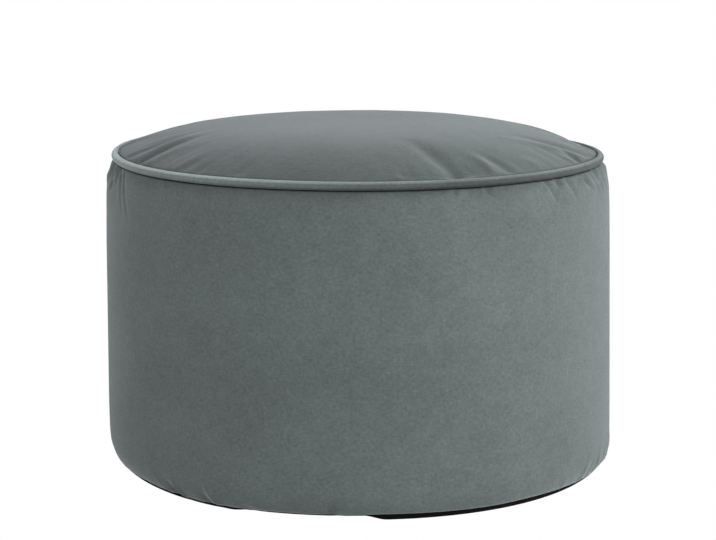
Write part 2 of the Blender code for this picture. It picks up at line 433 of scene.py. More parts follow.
def base_seam_height(bearing):
    """The height of the base seam at a bearing."""
    bearings, heights = zip(*BASE_SEAM)
    steps = (-1.0, -0.5, 0.0, 0.5, 1.0)
    near = [turned_from(bearing + step * BASE_SEAM_SOFTNESS, 0.0) for step in steps]
    return sum(np.interp(each, bearings, heights) / len(steps) for each in near)


def band_profile(shape):
    """Radius and height down the outside of the band, from the top seam to the floor."""
    top_radius, top_height = seat_point(shape, BAND_MEETS)
    turn = np.linspace(0.0, math.pi / 2, PROFILE_POINTS)
    share = np.cos(turn)
    heights = SHOULDER_HEIGHT + (top_height - SHOULDER_HEIGHT) * share
    radii = top_radius + (SHOULDER_RADIUS - top_radius) * np.sqrt(1 - share**SHOULDER_ROUNDING)
    edge = HIP_HEIGHT * (1 - np.sin(turn))
    wall = np.linspace(SHOULDER_HEIGHT, HIP_HEIGHT, PROFILE_POINTS)[1:-1]
    wall_share = (SHOULDER_HEIGHT - wall) / (SHOULDER_HEIGHT - HIP_HEIGHT)
    wall_radii = SHOULDER_RADIUS + (shape.hip_radius - SHOULDER_RADIUS) * wall_share
    radii = np.concatenate([radii, wall_radii, lower_edge_radius(shape, edge)])
    return np.stack([radii, np.concatenate([heights, wall, edge])], axis=1)


def crown_point(shape, share):
    """Radius and height of the crown at a share of the way from its middle to its edge."""
    edge_radius, edge_height = seat_point(shape, TOP_PANEL_MEETS)
    rise = shape.crown_height - edge_height
    return share * edge_radius, edge_height + rise * (1 - share**CROWN_FLATNESS)


def gathered(table, bearing, distance):
    """The share of extra cloth at a bearing and a distance from the seam, summed over a table of gathers."""
    extra = 0.0
    for gather in table:
        across = turned_from(bearing, gather.bearing) / (GATHER_SPREAD * gather.width)
        extra = extra + gather.fullness * bump(across) * (1 - smooth(distance, 0.0, gather.length))
    return extra


def first_folds(table, bearing, distance):
    """How far the cloth starts inside its turned shape at the gathers."""
    depth = 0.0
    for gather in table:
        reach = np.clip(distance / gather.length, 0.0, 1.0)
        across = turned_from(bearing, gather.bearing) / (gather.width * (FOLD_WIDTH + FOLD_WIDENS * reach))
        fold = bump(across) * (1 - smooth(distance, 0.0, gather.length))
        depth = depth - gather.fullness * GATHER_SEED * fold
    return depth


def creased(table, bearing, distance, radius):
    """How far the creases lift the cloth at a bearing and a distance from the seam."""
    lift = 0.0
    for crease in table:
        reach = np.clip(distance / crease.length, 0.0, 1.0)
        across = np.radians(turned_from(bearing, crease.bearing + crease.turn * reach)) * radius
        grow = smooth(distance, crease.starts - CREASE_BEFORE, crease.starts + CREASE_AFTER)
        fade = 1 - smooth(reach, CREASE_FADES_FROM, 1.0)
        lift = lift + crease.height * bump(across / crease.width) * grow * fade
    return lift


# ---- meshes


def deselect_all():
    for chosen in list(bpy.context.selected_objects):
        chosen.select_set(False)


def cloth_object(name, points, faces):
    mesh = bpy.data.meshes.new(name)
    mesh.from_pydata(points.reshape(-1, 3).tolist(), [], faces)
    mesh.update()
    piece = bpy.data.objects.new(name, mesh)
    bpy.context.scene.collection.objects.link(piece)
    deselect_all()
    bpy.context.view_layer.objects.active = piece
    piece.select_set(True)
    return piece


def read_points(mesh):
    points = np.empty(len(mesh.vertices) * 3, dtype=np.float32)
    mesh.vertices.foreach_get("co", points)
    return points.reshape(-1, 3).astype(float)


def write_points(mesh, points):
    mesh.vertices.foreach_set("co", points.astype(np.float32).ravel())
    mesh.update()


def sew_and_fill(piece, sewn, pinned, drape):
    """Pulls the pinned edge of the cut cloth to its seam, and lets the filling push the rest out."""
    mesh = piece.data
    held = piece.vertex_groups.new(name="seam")
    held.add(list(pinned), 1.0, "REPLACE")
    piece.shape_key_add(name="cut")
    key = piece.shape_key_add(name="sewn")
    key.data.foreach_set("co", sewn.astype(np.float32).ravel())
    key.value = 0.0
    key.keyframe_insert("value", frame=1)
    key.value = 1.0
    key.keyframe_insert("value", frame=drape.sewn_by)
    cloth = piece.modifiers.new("Cloth", "CLOTH")
    settings = cloth.settings
    settings.quality = CLOTH_QUALITY
    settings.mass = CLOTH_MASS
    settings.use_pressure = True
    settings.uniform_pressure_force = drape.pressure
    settings.bending_stiffness = drape.bending
    settings.tension_stiffness = drape.tension
    settings.compression_stiffness = drape.tension
    settings.shear_stiffness = CLOTH_SHEAR
    settings.vertex_group_mass = held.name
    settings.effector_weights.gravity = 0.0
    cloth.collision_settings.use_collision = False
    cloth.point_cache.frame_start = 1
    cloth.point_cache.frame_end = drape.frames
    for number in range(1, drape.frames + 1):
        bpy.context.scene.frame_set(number)
    evaluated = piece.evaluated_get(bpy.context.evaluated_depsgraph_get())
    filled = read_points(evaluated.data)
    piece.modifiers.remove(cloth)
    action = mesh.shape_keys.animation_data.action
    piece.shape_key_clear()
    bpy.data.actions.remove(action)
    piece.vertex_groups.remove(held)
    bpy.context.scene.frame_set(1)
    return filled


def folds_only(moved, bearings):
    """Keeps a ring's folds, up to a size, without what shifts, widens or bends the whole ring."""
    outwards = place(bearings, 1.0, 0.0)
    sideways = place(bearings + 90, 1.0, 0.0)
    parts = np.stack([(moved * outwards).sum(axis=1), (moved * sideways).sum(axis=1), moved[:, 2]])
    rounds = np.fft.rfft(parts, axis=1)
    rounds[:, :BROADEST_FOLD] = 0
    out, side, up = np.fft.irfft(rounds, n=len(bearings), axis=1)
    folds = out[:, None] * outwards + side[:, None] * sideways + up[:, None] * np.array([0.0, 0.0, 1.0])
    length = np.linalg.norm(folds, axis=1, keepdims=True)
    return folds * np.minimum(1.0, FARTHEST_MOVE / np.maximum(length, 1e-9))


def subdivide_once(piece):
    divided = piece.modifiers.new("Subdivision", "SUBSURF")
    divided.levels = divided.render_levels = 1
    bpy.ops.object.modifier_apply(modifier=divided.name)


def give_thickness(piece, thickness):
    """Thickens a sheet inwards, away from its outer face."""
    wall = piece.modifiers.new("Thickness", "SOLIDIFY")
    wall.thickness = thickness
    wall.offset = -1.0
    bpy.ops.object.modifier_apply(modifier=wall.name)


def set_cloth_map(piece, places):
    """Lays the flat cloth out in a UV map, in metres, from the place of each corner."""
    layer = piece.data.uv_layers.new(name="Cloth")
    corners = np.empty(len(piece.data.loops), dtype=np.int32)
    piece.data.loops.foreach_get("vertex_index", corners)
    layer.uv.foreach_set("vector", places[corners].astype(np.float32).ravel())


def close_cloth_map(piece, width):
    """Corners on the far side of the closing seam get the end of the strip and not its start."""
    layer = piece.data.uv_layers["Cloth"]
    flat = np.empty(len(layer.uv) * 2, dtype=np.float32)
    layer.uv.foreach_get("vector", flat)
    flat = flat.reshape(-1, 2)
    for face in piece.data.polygons:
        across = flat[face.loop_start : face.loop_start + face.loop_total, 0]
        if across.max() - across.min() > width / 2:
            across[across < width / 2] += width
    layer.uv.foreach_set("vector", flat.ravel())


def finish_piece(piece, node, material):
    piece.data.shade_smooth()
    piece.data.materials.clear()
    piece.data.materials.append(material)
    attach(piece, "root")
    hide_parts(node)


def strip_faces(rows, count):
    """Faces of a closed strip, whose points are given row by row."""
    faces = []
    for start in range(0, (rows - 1) * count, count):
        below = start + count
        for side in range(count):
            beside = (side + 1) % count
            faces.append((start + side, below + side, below + beside, start + beside))
    return faces


def ring_faces(start, columns, below, inner):
    """Faces between a ring and the next ring inwards, which has as many columns or half as many."""
    faces = []
    for side in range(inner):
        beside = (side + 1) % inner
        if inner == columns:
            faces.append((start + side, start + beside, below + beside, below + side))
        else:
            outer = (start + 2 * side, start + 2 * side + 1, start + (2 * side + 2) % columns)
            faces.append((*outer, below + beside, below + side))
    return faces


def fan_faces(start, count, middle):
    """Faces between a ring and a point in its middle."""
    return [(start + side, start + (side + 1) % count, middle) for side in range(count)]


def turned_over(faces):
    return [face[::-1] for face in faces]


# ---- the side band


def band_rows(length):
    """Distances from the top seam of the band's rows, close together near both seams."""
    at_seam = np.linspace(0.0, BAND_SEAM_ZONE, BAND_ROWS_AT_SEAM + 1)
    at_base = np.linspace(length - BAND_BASE_ZONE, length, BAND_ROWS_AT_BASE + 1)
    down = np.linspace(BAND_SEAM_ZONE, length - BAND_BASE_ZONE, BAND_ROWS_DOWN + 1)
    return np.concatenate([at_seam, down[1:-1], at_base])


def sew_side_band(shape):
    """The band's points after sewing and filling, their places on the flat cloth, and its faces."""
    profile = band_profile(shape)
    distance = along(profile)
    bearings = all_round(BAND_COLUMNS)
    full_length = float(np.interp(-BAND_ROWS_TO, -profile[:, 1], distance))
    seam_at = np.interp(-base_seam_height(bearings), -profile[:, 1], distance)
    rows = band_rows(full_length)
    bearing, row = np.meshgrid(bearings, rows)
    shorter = (full_length - seam_at)[None, :] * smooth(row, full_length - BASE_SEAM_REACH, full_length)
    row = row - shorter
    from_base = seam_at[None, :] - row
    radius = np.interp(row, distance, profile[:, 0])
    height = np.interp(row, distance, profile[:, 1])
    sewn = settle(place(bearing, radius, height))
    extra = gathered(BAND_GATHERS, bearing, row) + gathered(BASE_GATHERS, bearing, from_base)
    folds = first_folds(BAND_GATHERS, bearing, row) + first_folds(BASE_GATHERS, bearing, from_base)
    inside = UNFILLED * smooth(row, 0.0, UNFILLED_FROM) * smooth(from_base, 0.0, UNFILLED_FROM)
    cut_radius = radius * (1 + (EASE + extra) * shape.gathering) - inside + folds * shape.gathering
    cut = settle(place(bearing, cut_radius, height))
    faces = strip_faces(len(rows), BAND_COLUMNS)
    flat = np.stack([np.radians(bearing + 180) * SHOULDER_RADIUS, row], axis=-1)
    piece = cloth_object("band_trial", cut, faces)
    pinned = [*range(BAND_COLUMNS), *range(sewn[..., 0].size - BAND_COLUMNS, sewn[..., 0].size)]
    filled = sew_and_fill(piece, sewn.reshape(-1, 3), pinned, BAND_DRAPE).reshape(sewn.shape)
    bpy.data.objects.remove(piece)
    folds = np.array([folds_only(ring, bearings) for ring in filled - sewn])
    calm = LOWER_EDGE_CALM + (1 - LOWER_EDGE_CALM) * smooth(height, *LOWER_EDGE_CALM_TO)
    return sewn + folds * calm[..., None], flat, faces


def crease_band(piece, shape):
    """Presses the sharp creases and the closing seam into the sewn band."""
    points = read_points(piece.data)
    profile = band_profile(shape)
    bearing, radius = polar(points)
    from_seam = np.interp(-points[:, 2], -profile[:, 1], along(profile))
    from_base = np.interp(-base_seam_height(bearing), -profile[:, 1], along(profile)) - from_seam
    lift = creased(BAND_CREASES, bearing, from_seam, radius)
    lift = lift + creased(BASE_CREASES, bearing, from_base, radius)
    across = np.radians(turned_from(bearing, 180.0)) * radius
    lift = lift * shape.gathering - SEAM_DEPTH * bump(across / SEAM_WIDTH)
    outside = (radius > UNCREASED_INSIDE * shape.seam_radius) & (from_base > -SEAM_MARGIN)
    points[:, :2] *= (1 + lift * outside / radius)[:, None]
    write_points(piece.data, points)


def add_cap(points, faces, flat, first, rings, middle, upwards):
    """Adds a cap: rings of halved columns and a middle point."""
    before, columns = first, BAND_COLUMNS
    cap = []
    for (radius, height), count in rings:
        start = len(points)
        points = np.concatenate([points, settle(place(all_round(count), radius, height))])
        cap += ring_faces(before, columns, start, count)
        before, columns = start, count
    points = np.concatenate([points, settle(place(0.0, 0.0, middle))[None]])
    cap += fan_faces(before, columns, len(points) - 1)
    faces += cap if upwards else turned_over(cap)
    flat = np.concatenate([flat, np.zeros((len(points) - len(flat), 2))])
    return points, flat


def add_caps(points, faces, flat, shape):
    """One cap under the crown, and one over the base panel."""
    rows, count = points.shape[:2]
    points, flat = points.reshape(-1, 3), flat.reshape(-1, 2)
    seat_radius, seat_height = seat_point(shape, TOP_CAP_STARTS)
    rings = [((seat_radius - TOP_CAP_INSIDE, seat_height), count)]
    for share, fewer in TOP_CAP:
        radius, height = crown_point(shape, share)
        rings.append(((radius, height - UNDER_CROWN), count // fewer))
    middle = crown_point(shape, 0.0)[1] - UNDER_CROWN
    points, flat = add_cap(points, faces, flat, 0, rings, middle, upwards=True)
    rings = [((FLOOR_RADIUS * share, OVER_BASE), count // fewer) for share, fewer in BASE_CAP]
    return add_cap(points, faces, flat, (rows - 1) * count, rings, OVER_BASE, upwards=False)


class FOOTSTOOL_OT_side_band(bpy.types.Operator):
    """Sew the side band, fill it and close it over the filling"""

    bl_idname = "footstool.side_band"
    bl_label = "Side Band"
    bl_options = {"REGISTER", "UNDO"}

    def execute(self, context):
        shape = context.scene.footstool_shape
        points, flat, faces = sew_side_band(shape)
        points, flat = add_caps(points, faces, flat, shape)
        piece = cloth_object("band", points, faces)
        set_cloth_map(piece, flat)
        close_cloth_map(piece, 2 * math.pi * SHOULDER_RADIUS)
        subdivide_once(piece)
        crease_band(piece, shape)
        finish_piece(piece, "side_band", velvet(context, "Velvet of the band with painted shade", painted_shade_of_band))
        return {"FINISHED"}


# ---- the top panel


def crown_rings():
    """Distance from the rim and number of columns of each ring, halved inwards to keep the faces square."""
    rings = []
    distance = 0.0
    columns = CROWN_COLUMNS
    step = CROWN_FIRST_STEP
    while distance < CROWN_REACH - CROWN_MIDDLE:
        rings.append((distance, columns))
        radius = SEAM_RADIUS - distance
        while columns > CROWN_FEWEST_COLUMNS and 2 * math.pi * radius / columns < step * CROWN_NARROWEST:
            columns //= 2
        distance += step
        step = min(step * CROWN_STEP_GROWTH, CROWN_LAST_STEP)
    return rings


def crown_faces(rings):
    faces = []
    start = 0
    for (_, columns), (_, inner) in zip(rings, rings[1:]):
        faces += ring_faces(start, columns, start + columns, inner)
        start += columns
    last = rings[-1][1]
    return faces + fan_faces(start, last, start + last)


def crown_shape(shape, distance):
    """Radius and height of the top panel, at a distance from its rim along the cloth, without creases."""
    angles = np.linspace(TOP_PANEL_ENDS, TOP_PANEL_MEETS, 6)[:-1]
    seat = np.array([seat_point(shape, angle) for angle in angles])
    share = np.sin(np.linspace(math.pi / 2, 0.0, CROWN_PROFILE_POINTS))
    profile = np.concatenate([seat, np.stack(crown_point(shape, share), axis=1)])
    lengths = along(profile)
    reach = distance / CROWN_REACH * lengths[-1]
    return np.interp(reach, lengths, profile[:, 0]), np.interp(reach, lengths, profile[:, 1])


def sew_top_panel(shape):
    """The top panel's points after sewing and filling, their places on the flat cloth, and its faces."""
    rings = crown_rings()
    faces = crown_faces(rings)
    columns = [count for _, count in rings]
    bearing = np.concatenate([all_round(count) for count in columns] + [[0.0]])
    distance = np.repeat([reach for reach, _ in rings] + [CROWN_REACH], columns + [1])
    row = np.repeat(np.arange(len(rings) + 1), columns + [1])
    radius, height = crown_shape(shape, distance)
    wider = 1 + CROWN_EASE * (1 - smooth(distance, 0.0, CROWN_EASE_TO))
    wider = wider + gathered(CROWN_GATHERS, bearing, distance)
    flat = place(bearing, CROWN_REACH - distance, 0.0)[:, :2]
    sewn = settle(place(bearing, radius, height))
    cut = settle(place(bearing, radius * wider, height))
    piece = cloth_object("crown_trial", cut, faces)
    moved = sew_and_fill(piece, sewn, range(columns[0]), CROWN_DRAPE) - sewn
    bpy.data.objects.remove(piece)
    for ring in range(len(rings)):
        moved[row == ring] = CROWN_CALM * folds_only(moved[row == ring], bearing[row == ring])
    moved[row == len(rings)] = 0.0
    return sewn + moved, flat, faces


def crease_crown(piece, shape):
    """Presses the sharp creases into the sewn top panel."""
    points = read_points(piece.data)
    bearing, radius = polar(points)
    edge_radius, _ = seat_point(shape, TOP_PANEL_MEETS)
    inwards = np.maximum(0.0, edge_radius - radius)
    lift = creased(CROWN_CREASES, bearing, inwards, radius)
    points[:, 2] += lift * shape.gathering * (radius > CROWN_UNCREASED)
    write_points(piece.data, points)


class FOOTSTOOL_OT_top_panel(bpy.types.Operator):
    """Sew the round top panel to the piping and let the filling crown it"""

    bl_idname = "footstool.top_panel"
    bl_label = "Top Panel"
    bl_options = {"REGISTER", "UNDO"}

    def execute(self, context):
        shape = context.scene.footstool_shape
        points, flat, faces = sew_top_panel(shape)
        piece = cloth_object("crown", points, faces)
        set_cloth_map(piece, flat)
        subdivide_once(piece)
        crease_crown(piece, shape)
        give_thickness(piece, shape.cloth_thickness)
        finish_piece(piece, "top_panel", velvet(context, "Velvet of the top panel"))
        return {"FINISHED"}


# ---- the piping


class FOOTSTOOL_OT_piping(bpy.types.Operator):
    """Cover a cord in velvet and lay it in the top seam"""

    bl_idname = "footstool.piping"
    bl_label = "Piping"
    bl_options = {"REGISTER", "UNDO"}

    def execute(self, context):
        shape = context.scene.footstool_shape
        deselect_all()
        bpy.ops.mesh.primitive_circle_add(
            vertices=PIPING_SIDES,
            radius=shape.cord_diameter / 2,
            location=(shape.seam_radius, 0, shape.seam_height),
            rotation=(math.pi / 2, 0, 0),
        )
        piece = context.object
        piece.name = piece.data.name = "cord"
        bpy.ops.object.transform_apply(location=True, rotation=True, scale=True)
        bpy.ops.object.mode_set(mode="EDIT")
        bpy.ops.mesh.select_all(action="SELECT")
        bpy.ops.mesh.spin(steps=PIPING_STEPS, angle=2 * math.pi, center=(0, 0, 0), axis=(0, 0, 1))
        bpy.ops.mesh.select_all(action="SELECT")
        bpy.ops.mesh.remove_doubles(threshold=0.0001)
        bpy.ops.mesh.normals_make_consistent(inside=False)
        bpy.ops.object.mode_set(mode="OBJECT")
        points = read_points(piece.data)
        bearing, radius = polar(points)
        above = points[:, 2] - shape.seam_height
        angle = np.degrees(np.arctan2(above, radius - shape.seam_radius))
        thickness = cord_wrinkles(bearing, angle)
        radius = shape.seam_radius + (radius - shape.seam_radius) * thickness
        height = shape.seam_height + above * thickness
        write_points(piece.data, settle(place(bearing, radius, height)))
        for old in list(piece.data.uv_layers):
            piece.data.uv_layers.remove(old)
        across = np.radians(angle) * CORD / 2
        set_cloth_map(piece, np.stack([np.radians(bearing + 180) * shape.seam_radius, across], axis=-1))
        finish_piece(piece, "piping", velvet(context, "Velvet of the piping with painted light", painted_light_of_piping))
        return {"FINISHED"}


def cord_wrinkles(bearing, angle):
    """How thick the covered cord is at a bearing and an angle in its section: bias-cut velvet puckers."""
    thickness = 1.0
    random = np.random.default_rng(PUCKER_SEED)
    for _ in range(PUCKERS):
        middle = random.uniform(-180, 180)
        width = random.uniform(0.5, 1.4)
        side = random.uniform(-180, 180)
        slant = random.uniform(-0.012, 0.012)
        depth = random.uniform(-0.05, 0.035)
        round_section = turned_from(angle, side)
        across = (turned_from(bearing, middle) - slant * round_section) / width
        thickness = thickness + depth * bump(across) * bump(round_section / PUCKER_SPREAD)
    # the lapped ends of the cover stand out, with a dip beside them
    joint = turned_from(bearing, CORD_JOINT)
    thickness = thickness + 0.05 * smooth(joint, -1.2, -0.8) * (1 - smooth(joint, 1.0, 3.0))
    return thickness - 0.07 * bump((joint + 1.1) / 0.35)


# ---- the base panel


def base_rings(shape):
    """Rings of points of the base panel, from its seam down to the floor and in along it."""
    bearings = all_round(BASE_COLUMNS)
    seam = base_seam_height(bearings)
    starts, ends = BASE_TUCK
    tucked = smooth(bearings, starts - BASE_TUCK_SOFTNESS, starts + BASE_TUCK_SOFTNESS)
    tucked *= 1 - smooth(bearings, ends - BASE_TUCK_SOFTNESS, ends + BASE_TUCK_SOFTNESS)
    pressed = creased(BASE_CREASES, bearings, BASE_CREASED_AT, SEAM_RADIUS)
    pressed = np.minimum(0.0, pressed) * shape.gathering
    seam_radius = lower_edge_radius(shape, seam) - BASE_INSIDE_BAND + pressed
    rings = []
    for share in BASE_TURN_UP:
        height = seam * share
        round_radius = lower_edge_radius(shape, height) - BASE_INSIDE_BAND + pressed * share
        straight_radius = seam_radius + (BASE_TUCK_RADIUS - seam_radius) * (1 - share)
        rings.append(place(bearings, round_radius + (straight_radius - round_radius) * tucked, height))
    floor_radius = FLOOR_RADIUS + (BASE_TUCK_RADIUS - FLOOR_RADIUS) * tucked
    return rings + [place(bearings, floor_radius * share, 0.0) for share in BASE_FLAT]


class FOOTSTOOL_OT_base_panel(bpy.types.Operator):
    """Lay the base panel on the floor, turned up at its edge to the base seam"""

    bl_idname = "footstool.base_panel"
    bl_label = "Base Panel"
    bl_options = {"REGISTER", "UNDO"}

    def execute(self, context):
        shape = context.scene.footstool_shape
        rings = base_rings(shape)
        last = (len(rings) - 1) * BASE_COLUMNS
        faces = strip_faces(len(rings), BASE_COLUMNS)
        faces += turned_over(fan_faces(last, BASE_COLUMNS, last + BASE_COLUMNS))
        points = settle(np.concatenate([*rings, np.zeros((1, 3))]))
        points[:, 2] = np.maximum(points[:, 2], 0.0)
        piece = cloth_object("base_cloth", points, faces)
        set_cloth_map(piece, points[:, :2])
        give_thickness(piece, shape.cloth_thickness)
        finish_piece(piece, "base_panel", base_cloth(context, "Base cloth and painted shadow"))
        return {"FINISHED"}


# ---- materials

PILE_DEPTH = 0.0002
# where light and shade are painted in, they also scale the sheen, up to this limit
LIGHTEST_SHEEN = 1.5  # the sheen grows no lighter than this many times its weight
NAP_INPUTS = {
    "Place": "Vector",
    "Colour": "Color",
    "Lightness": "Float",
    "Brushed": "Float",
    "Mottled": "Float",
}
NAP_RESULTS = {"Colour": "Color", "Roughness": "Float", "Height": "Float"}


def feed(tree, node, inputs):
    """Gives a node's sockets a value or a link."""
    for name, value in inputs.items():
        if isinstance(value, bpy.types.NodeSocket):
            tree.links.new(value, node.inputs[name])
        else:
            node.inputs[name].default_value = value


def add_node(tree, kind, inputs, **settings):
    made = tree.nodes.new(kind)
    for name, value in settings.items():
        setattr(made, name, value)
    feed(tree, made, inputs)
    return made


def maths(tree, operation, *values):
    return add_node(tree, "ShaderNodeMath", dict(enumerate(values)), operation=operation).outputs[0]


def scaled(tree, value, by):
    return maths(tree, "MULTIPLY", value, by)


def added(tree, *values):
    total = values[0]
    for value in values[1:]:
        total = maths(tree, "ADD", total, value)
    return total


def ranged(tree, value, low, high, below, above, **settings):
    """A value moved from one range to another."""
    ends = {"Value": value, "From Min": low, "From Max": high, "To Min": below, "To Max": above}
    return add_node(tree, "ShaderNodeMapRange", ends, **settings).outputs[0]


def step_over(tree, value, low, high, below, above):
    """A soft step from one value to another, over a range."""
    return ranged(tree, value, low, high, below, above, interpolation_type="SMOOTHSTEP")


def noise(tree, vector, scale, detail, stretch=(1, 1, 1), roughness=0.5):
    """Noise around 0, about -1 to 1, on a vector in metres. scale is in cells for each metre."""
    placed = add_node(tree, "ShaderNodeMapping", {"Vector": vector, "Scale": stretch}).outputs[0]
    inputs = {"Vector": placed, "Scale": scale, "Detail": detail, "Roughness": roughness}
    made = add_node(tree, "ShaderNodeTexNoise", inputs, noise_dimensions="3D")
    return ranged(tree, made.outputs["Fac"], 0.25, 0.75, -1.0, 1.0, clamp=False)


def tinted(tree, colour, lightness):
    """A colour times a lightness."""
    inputs = {0: 1.0, 6: colour, 7: lightness}
    return add_node(tree, "ShaderNodeMix", inputs, data_type="RGBA", blend_type="MULTIPLY").outputs[2]


def bumped(tree, height, strength):
    inputs = {"Height": height, "Strength": strength, "Distance": PILE_DEPTH}
    return add_node(tree, "ShaderNodeBump", inputs).outputs[0]


def nap_group():
    """Short velvet pile: soft brushed patches, a fine mottling, and a tiny uneven height."""
    found = bpy.data.node_groups.get("Velvet nap")
    if found:
        return found
    tree = bpy.data.node_groups.new("Velvet nap", "ShaderNodeTree")
    for way, sockets in (("INPUT", NAP_INPUTS), ("OUTPUT", NAP_RESULTS)):
        for name, kind in sockets.items():
            tree.interface.new_socket(name=name, in_out=way, socket_type="NodeSocket" + kind)
    inside = tree.nodes.new("NodeGroupInput")
    where = inside.outputs["Place"]
    broad = noise(tree, where, 14.0, 2.0)
    patches = noise(tree, where, 70.0, 3.0, roughness=0.8)
    mottling = noise(tree, where, 330.0, 1.0)
    upright = noise(tree, where, 700.0, 1.0, stretch=(1.0, 0.3, 1.0))
    level = noise(tree, where, 700.0, 1.0, stretch=(0.3, 1.0, 1.0))
    pile = noise(tree, where, 1800.0, 1.0)
    brushed = scaled(tree, added(tree, scaled(tree, broad, 0.7), patches), inside.outputs["Brushed"])
    threads = added(tree, mottling, scaled(tree, upright, 0.6), scaled(tree, level, 0.8))
    threads = added(tree, threads, scaled(tree, pile, 0.4))
    lightness = added(tree, brushed, scaled(tree, threads, inside.outputs["Mottled"]), 1.0)
    # times the painted light and shade passed in
    lightness = scaled(tree, lightness, inside.outputs["Lightness"])
    results = {
        "Colour": tinted(tree, inside.outputs["Colour"], lightness),
        "Roughness": added(tree, scaled(tree, brushed, -0.6), 0.86),
        "Height": added(tree, scaled(tree, threads, 0.5), scaled(tree, pile, 0.6)),
    }
    add_node(tree, "NodeGroupOutput", results)
    return tree


def painted_shade_of_band(tree, where):
    """Painted shade: the band's colour and sheen are darkened where it goes in under the piping, most in the
    crevice just under the cord and lightly for a short way below it.
    """
    from_seam = add_node(tree, "ShaderNodeSeparateXYZ", {0: where}).outputs["Y"]
    # painted shade, deep in the crevice under the cord
    painted_crevice_shade = step_over(tree, from_seam, 0.0006, 0.0032, 0.10, 1.0)
    # and a light painted shade a little further down the band
    return scaled(tree, painted_crevice_shade, step_over(tree, from_seam, 0.002, 0.016, 0.85, 1.0))


def painted_light_of_piping(tree, where):
    """Painted light on the cord: a painted highlight along its top, painted shade on its underside, lighter
    at the left than at the right.
    """
    parts = add_node(tree, "ShaderNodeSeparateXYZ", {0: where})
    # the angle in its section, 0 outwards, and how far to the left: 1 at the left end, -1 at the right
    angle = maths(tree, "DIVIDE", parts.outputs["Y"], CORD / 2)
    left = maths(tree, "SINE", scaled(tree, parts.outputs["X"], 1 / SEAM_RADIUS))
    # the painted highlight is weaker at the right end
    most = step_over(tree, left, -0.96, -0.80, 1.9, 2.5)
    # painted highlight along the top of the cord
    painted_top_highlight = step_over(tree, angle, math.radians(17), math.radians(52), 1.0, most)
    # painted shade on the underside of the cord
    pressed = step_over(tree, angle, math.radians(-70), math.radians(5), 0.4, 1.0)
    # painted light from the side: lighter at the left, darker at the right, and lighter still at the left end
    painted_side_light = ranged(tree, left, -0.38, 0.70, 0.55, 1.60)
    painted_side_light = scaled(tree, painted_side_light, step_over(tree, left, 0.85, 0.98, 1.0, 1.2))
    return scaled(tree, scaled(tree, painted_top_highlight, pressed), painted_side_light)


def new_material(name):
    """A material, its node tree and its shader."""
    material = bpy.data.materials.new(name)
    material.use_nodes = True
    tree = material.node_tree
    return material, tree, tree.nodes["Principled BSDF"]


def cloth_place(tree):
    return add_node(tree, "ShaderNodeUVMap", {}, uv_map="Cloth").outputs[0]


def velvet(context, name, painted_light=None):
    """Velvet. The optional function adds nodes that paint light and shade into its colour and sheen, by place
    on the cloth.
    """
    finish = context.scene.footstool_finish
    material, tree, shader = new_material(name)
    where = cloth_place(tree)
    colour = (*finish.velvet_colour, 1.0)
    # painted light and shade, multiplied into the colour and, up to a limit, into the sheen
    lightness = painted_light(tree, where) if painted_light else 1.0
    sheen = finish.sheen
    if painted_light:
        sheen = scaled(tree, maths(tree, "MINIMUM", lightness, LIGHTEST_SHEEN), sheen)
    inputs = {
        "Place": where,
        "Colour": colour,
        "Lightness": lightness,
        "Brushed": finish.brushed,
        "Mottled": finish.mottled,
    }
    nap = add_node(tree, "ShaderNodeGroup", inputs, node_tree=nap_group())
    inputs = {
        "Base Color": nap.outputs["Colour"],
        "Roughness": nap.outputs["Roughness"],
        "Normal": bumped(tree, nap.outputs["Height"], 0.35),
        "Specular IOR Level": 0.2,
        "Sheen Weight": sheen,
        "Sheen Roughness": finish.sheen_spread,
        "Sheen Tint": (*finish.sheen_colour, 1.0),
    }
    feed(tree, shader, inputs)
    material.diffuse_color = colour
    return material


def base_cloth(context, name):
    """Matt black fibre cloth, made near pure black so that its edge under the band also stands for painted
    contact shadow.
    """
    material, tree, shader = new_material(name)
    fibre = noise(tree, cloth_place(tree), 700.0, 3.0)
    lightness = added(tree, scaled(tree, fibre, 0.25), 1.0)
    inputs = {
        "Base Color": tinted(tree, (*context.scene.footstool_finish.base_and_shadow_colour, 1.0), lightness),
        "Roughness": 0.9,
        "Normal": bumped(tree, fibre, 0.4),
        "Specular IOR Level": 0.1,
    }
    feed(tree, shader, inputs)
    return material


# ---- the studio

Softbox = namedtuple("Softbox", "name place size power")
SOFTBOXES = rows_of(
    Softbox,
    ("Right softbox", (2.2, 0.1, 0.9), (1.4, 1.8), 34.5),
    ("Front right softbox", (1.9, -1.3, 1.0), (1.4, 1.6), 17.5),
    ("Left softbox", (-2.2, 0.1, 0.9), (1.4, 1.8), 12.5),
    ("Left back softbox", (-1.6, 1.6, 1.0), (1.4, 1.8), 4.0),
    ("Low front softbox", (0.2, -2.6, 0.50), (2.0, 0.8), 30.5),
)
LIT_POINT = (0.0, 0.0, 0.2)  # where the softboxes face
WHITE = (1.0, 1.0, 1.0, 1.0)


